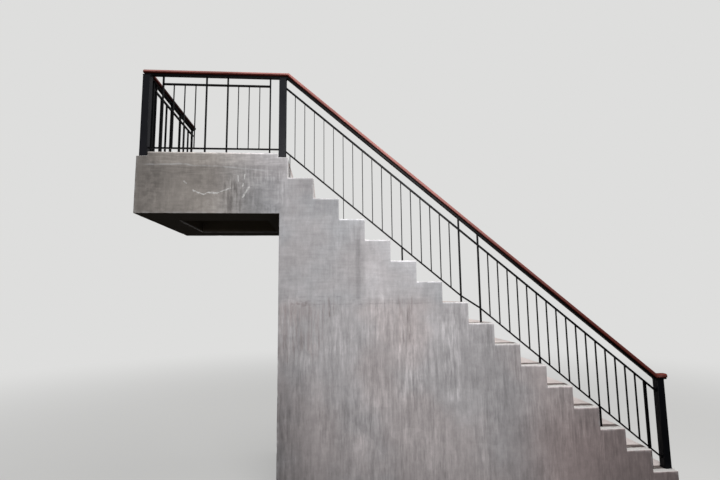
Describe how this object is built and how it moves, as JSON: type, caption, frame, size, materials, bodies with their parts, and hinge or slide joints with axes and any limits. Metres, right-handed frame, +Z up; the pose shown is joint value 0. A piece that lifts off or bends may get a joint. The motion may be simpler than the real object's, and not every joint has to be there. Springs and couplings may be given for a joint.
{
  "type": "outdoor concrete stair with landing and balustrade",
  "caption": "Straight outdoor concrete stair with a stepped front wall, a cantilevered landing, and a dark steel balustrade under a timber handrail.",
  "frame": {"origin": "on the ground, at the middle of the bounding box's base", "axes": "+X down the flight, from the landing to the lowest step; +Y from the open front to the building; +Z up"},
  "size_m": [5.11, 1.6, 4.09],
  "materials": {
    "plastered_concrete": "trowelled grey cement plaster, streaked",
    "tread_cement": "pale float-finished cement",
    "painted_steel": "satin blue-black paint",
    "handrail_timber": "oiled reddish-brown hardwood"
  },
  "bodies": {
    "root": {"front_wall": "plastered_concrete", "rear_wall": "plastered_concrete", "flight_slab": "plastered_concrete", "step_blocks": "plastered_concrete", "tread_01": "tread_cement", "tread_02": "tread_cement", "tread_03": "tread_cement", "tread_04": "tread_cement", "tread_05": "tread_cement", "tread_06": "tread_cement", "tread_07": "tread_cement", "tread_08": "tread_cement", "tread_09": "tread_cement", "tread_10": "tread_cement", "tread_11": "tread_cement", "tread_12": "tread_cement", "tread_13": "tread_cement", "tread_14": "tread_cement", "tread_15": "tread_cement", "landing_front_beam": "plastered_concrete", "landing_rear_beam": "plastered_concrete", "landing_end_beam": "plastered_concrete", "landing_inner_beam": "plastered_concrete", "landing_slab": "plastered_concrete", "landing_floor": "tread_cement", "kerb_front": "plastered_concrete", "kerb_end": "plastered_concrete", "corner_newel": "painted_steel", "top_newel": "painted_steel", "foot_newel": "painted_steel", "rail_bar_landing": "painted_steel", "rail_bar_end": "painted_steel", "rail_bar_flight": "painted_steel", "rail_bar_foot": "painted_steel", "handrail_landing": "handrail_timber", "handrail_end": "handrail_timber", "handrail_flight": "handrail_timber", "handrail_foot": "handrail_timber", "landing_panel": "painted_steel", "end_panel": "painted_steel", "flight_panel_upper": "painted_steel", "flight_panel_lower": "painted_steel"}
  },
  "joints": []
}
